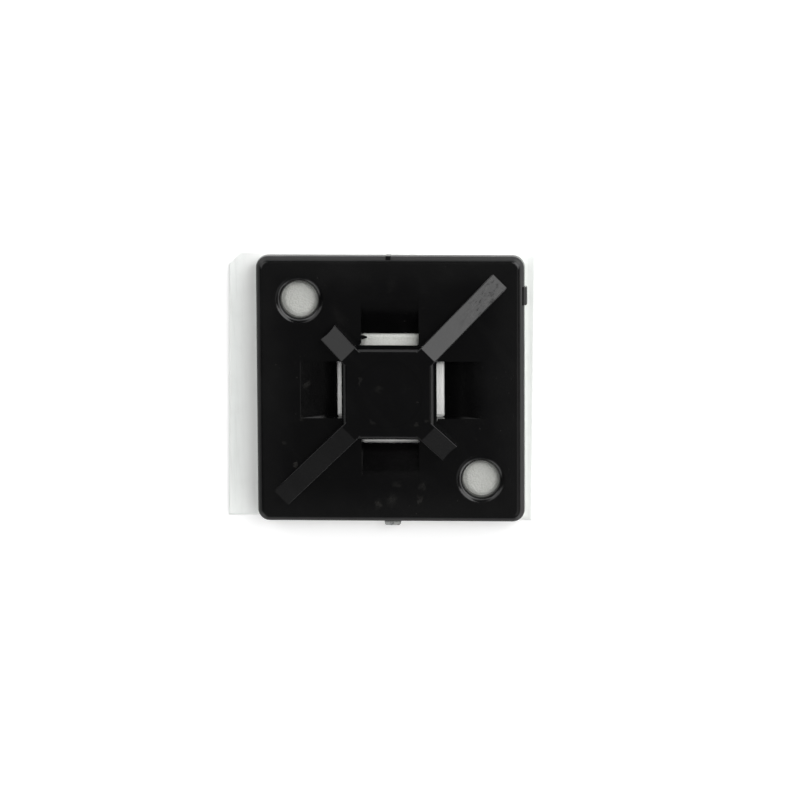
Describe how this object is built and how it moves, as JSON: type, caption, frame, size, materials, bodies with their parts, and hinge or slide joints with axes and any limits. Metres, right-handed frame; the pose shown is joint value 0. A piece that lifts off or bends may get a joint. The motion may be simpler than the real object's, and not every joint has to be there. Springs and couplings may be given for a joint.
{
  "type": "adhesive cable tie mount",
  "caption": "Square self-adhesive mount with a raised four-way bridge for cable ties, two corner screw holes, foam tape pad and paper liner.",
  "frame": {"origin": "under the middle of the plate, on the underside of the release liner", "axes": "+Z out of the surface that the mount sticks to, towards the bridge's top; +X and +Y along the two tie channels, square with the plate's sides, with the screw holes in the -X+Y and +X-Y corners"},
  "size_m": [0.0323, 0.0287, 0.0056],
  "materials": {
    "black_nylon": "satin moulded nylon, a little scuffed and dusty",
    "white_foam": "white closed-cell foam tape",
    "liner_paper": "smooth white release paper"
  },
  "bodies": {
    "root": {"mount_body": "black_nylon", "foam_pad": "white_foam", "release_liner": "liner_paper"}
  },
  "joints": []
}
